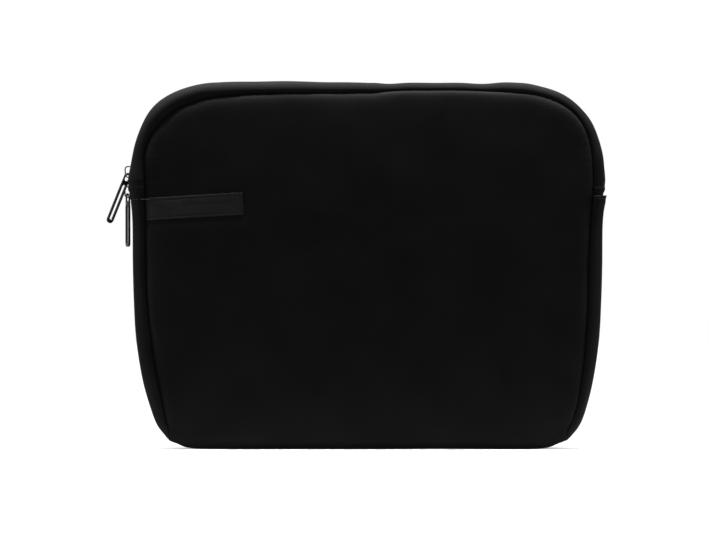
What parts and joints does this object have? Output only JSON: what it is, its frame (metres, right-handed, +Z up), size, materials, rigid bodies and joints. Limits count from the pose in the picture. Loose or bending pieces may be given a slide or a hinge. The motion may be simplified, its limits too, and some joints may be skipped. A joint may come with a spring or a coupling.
{
  "type": "laptop sleeve",
  "caption": "Black neoprene laptop sleeve with side gussets, a zip round its top edge with twin sliders and long pullers, a front that folds open, and a label strip.",
  "frame": {"origin": "centre of the flat base that the sleeve stands on", "axes": "+X to the viewer's right, the front faces -Y, +Z up"},
  "size_m": [0.3844, 0.0393, 0.2833],
  "materials": {
    "neoprene": "matt smooth jersey on foam",
    "zip_tape": "woven tape",
    "zip_coil": "satin nylon",
    "thread": "twisted polyester",
    "lining": "short brushed pile",
    "binding": "ribbed woven tape",
    "label": "fine grained coated synthetic leather",
    "zip_metal": "black nickel plating"
  },
  "bodies": {
    "sleeve_body": {"body_wrap": "neoprene", "side_gusset_left": "neoprene", "side_gusset_right": "neoprene", "zip_strip_back": "neoprene", "zip_tape_back": "zip_tape", "zip_coil_back": "zip_coil", "zip_thread_back": "thread", "lining_wrap": "lining", "lining_gusset_left": "lining", "lining_gusset_right": "lining", "seam_binding_back": "binding", "seam_binding_front_left": "binding", "seam_binding_front_right": "binding", "label_patch": "label", "label_stitching": "thread"},
    "front_flap": {"front_panel_upper": "neoprene", "zip_strip_front": "neoprene", "zip_tape_front": "zip_tape", "zip_coil_front": "zip_coil", "zip_thread_front": "thread", "lining_front_upper": "lining", "seam_binding_front_upper": "binding"},
    "upper_slider": {"upper_slider_body": "zip_metal", "upper_slider_bail": "zip_metal"},
    "upper_puller": {"upper_puller": "zip_metal"},
    "lower_slider": {"lower_slider_body": "zip_metal", "lower_slider_bail": "zip_metal"},
    "lower_puller": {"lower_puller": "zip_metal"}
  },
  "joints": [
    {"name": "flap_fold", "type": "hinge", "parent": "sleeve_body", "child": "front_flap", "pos_m": [0, -0.019, 0.199], "axis": [1, 0, 0], "range_deg": [0, 45]},
    {"name": "upper_slider_travel", "type": "hinge", "parent": "sleeve_body", "child": "upper_slider", "pos_m": [-0.1195, 0, 0.221], "axis": [0, 1, 0], "range_deg": [0, 96]},
    {"name": "upper_puller_swing", "type": "hinge", "parent": "upper_slider", "child": "upper_puller", "pos_m": [-0.18564, 0, 0.21258], "axis": [0, 1, 0], "range_deg": [0, 100]},
    {"name": "lower_slider_travel", "type": "slide", "parent": "sleeve_body", "child": "lower_slider", "axis": [0, 0, 1], "range_m": [0, 0.001]},
    {"name": "lower_puller_swing", "type": "hinge", "parent": "lower_slider", "child": "lower_puller", "pos_m": [-0.1859, 0, 0.19695], "axis": [0, 1, 0], "range_deg": [-1, 10]}
  ]
}
